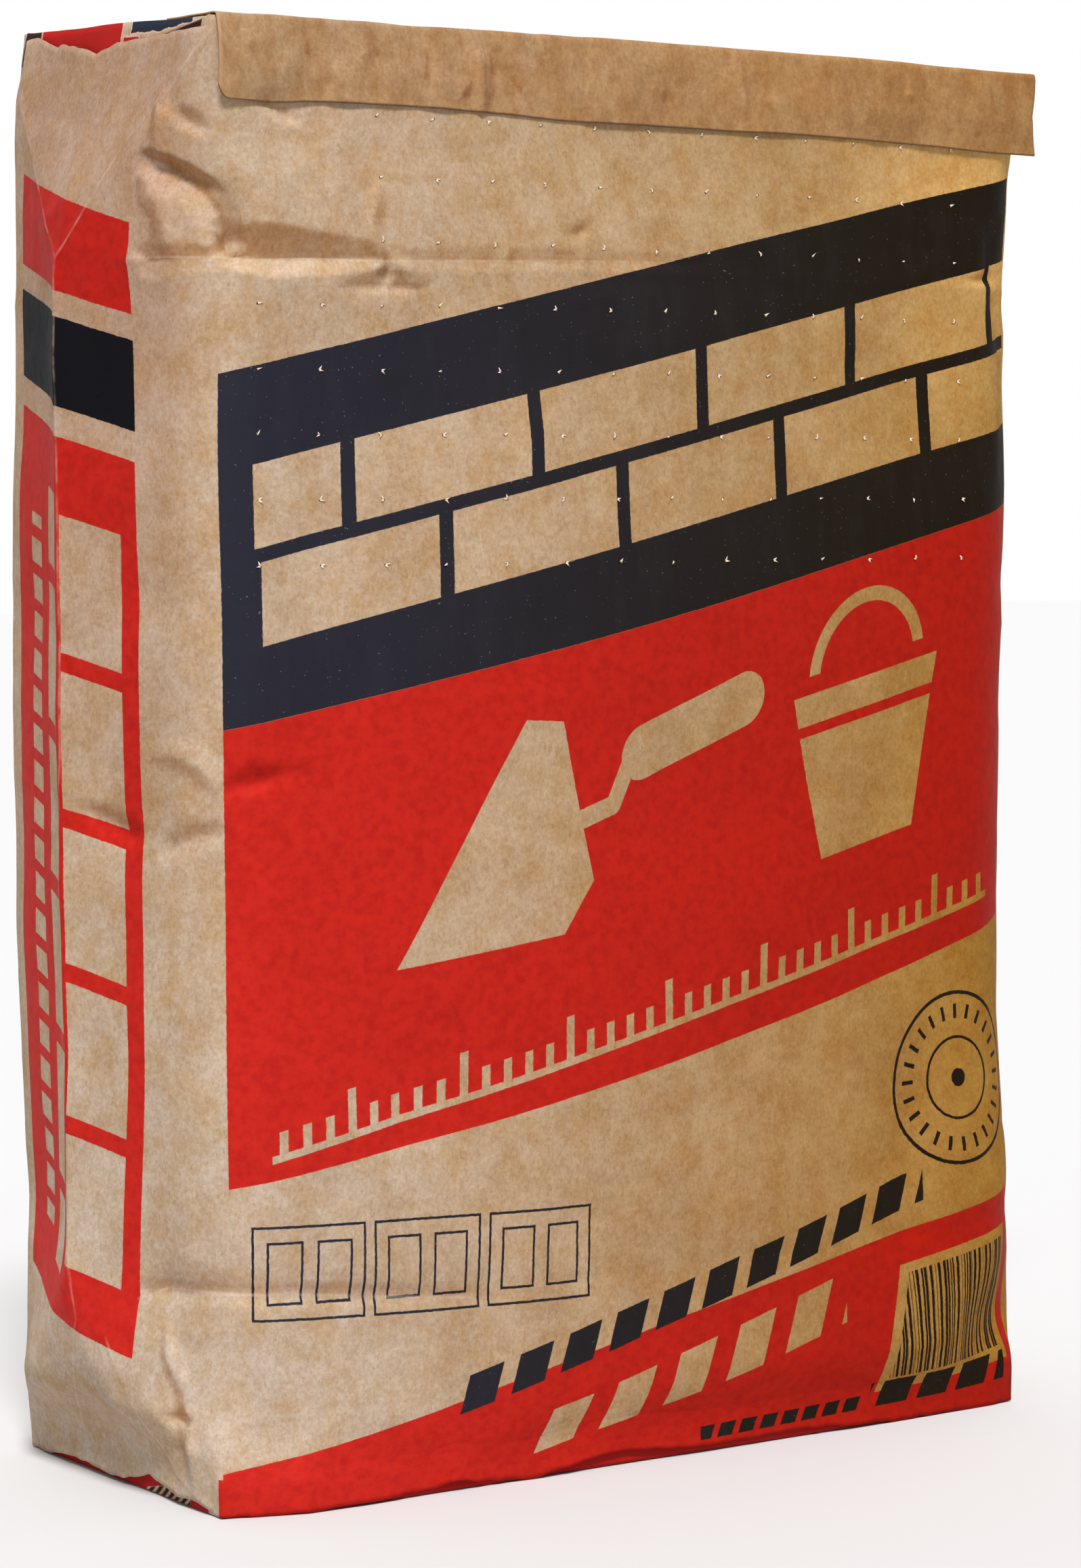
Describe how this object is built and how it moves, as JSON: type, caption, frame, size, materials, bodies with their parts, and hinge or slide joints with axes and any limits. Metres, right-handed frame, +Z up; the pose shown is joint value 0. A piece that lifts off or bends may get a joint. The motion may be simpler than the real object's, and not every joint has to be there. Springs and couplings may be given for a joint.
{
  "type": "cement sack",
  "caption": "Filled paper sack of cement standing on its end: flat-tube kraft sack with folded block ends, printed bands and a plain strip glued over the top front edge.",
  "frame": {"origin": "middle of the base, on the floor that the sack stands on", "axes": "+Z up the sack, +X across its front to the right, +Y from its front panel to its back panel"},
  "size_m": [0.3684, 0.1536, 0.4694],
  "materials": {
    "kraft": "matt kraft sack paper with slanted black and red printed bands",
    "strip_kraft": "matt plain brown kraft paper"
  },
  "bodies": {
    "root": {"paper_sack": "kraft", "cover_strip": "strip_kraft"}
  },
  "joints": []
}
